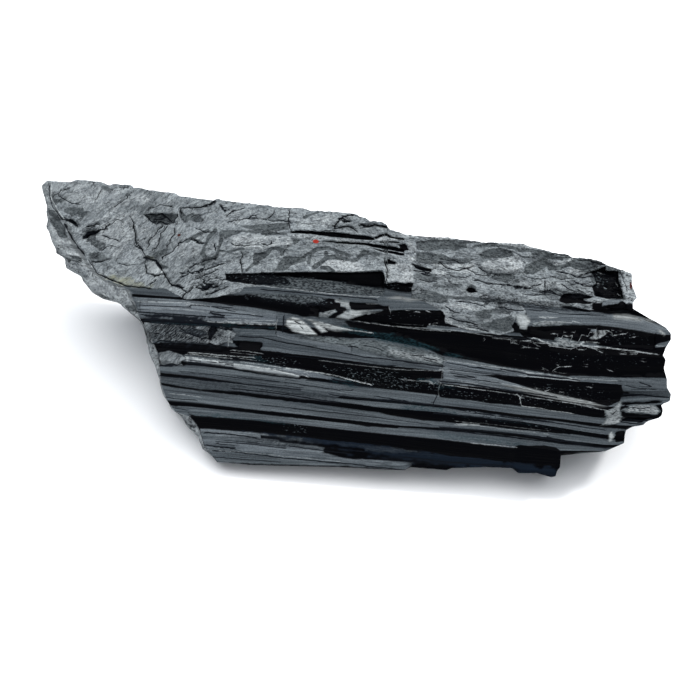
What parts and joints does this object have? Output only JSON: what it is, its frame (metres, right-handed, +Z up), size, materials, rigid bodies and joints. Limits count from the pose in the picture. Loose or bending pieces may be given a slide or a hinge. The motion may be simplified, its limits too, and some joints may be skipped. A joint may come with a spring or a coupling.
{
  "type": "tourmaline crystal",
  "caption": "Black tourmaline chunk: a long fluted prism with parallel glossy ribs on the front, a rough grey broken upper face, an oblique broken left end and stepped rods at the right end.",
  "frame": {"origin": "centre of the bounding box in X and Y, at the flat underside the stone rests on", "axes": "+X runs along the flutes (the crystal's long axis) toward the stepped end, +Y points to the back face, +Z is up from the underside"},
  "size_m": [0.08, 0.0302, 0.0215],
  "materials": {
    "schorl": "glossy and satin ribs on the fluted face, matt grey on the broken faces"
  },
  "bodies": {
    "root": {"tourmaline_crystal": "schorl"}
  },
  "joints": []
}
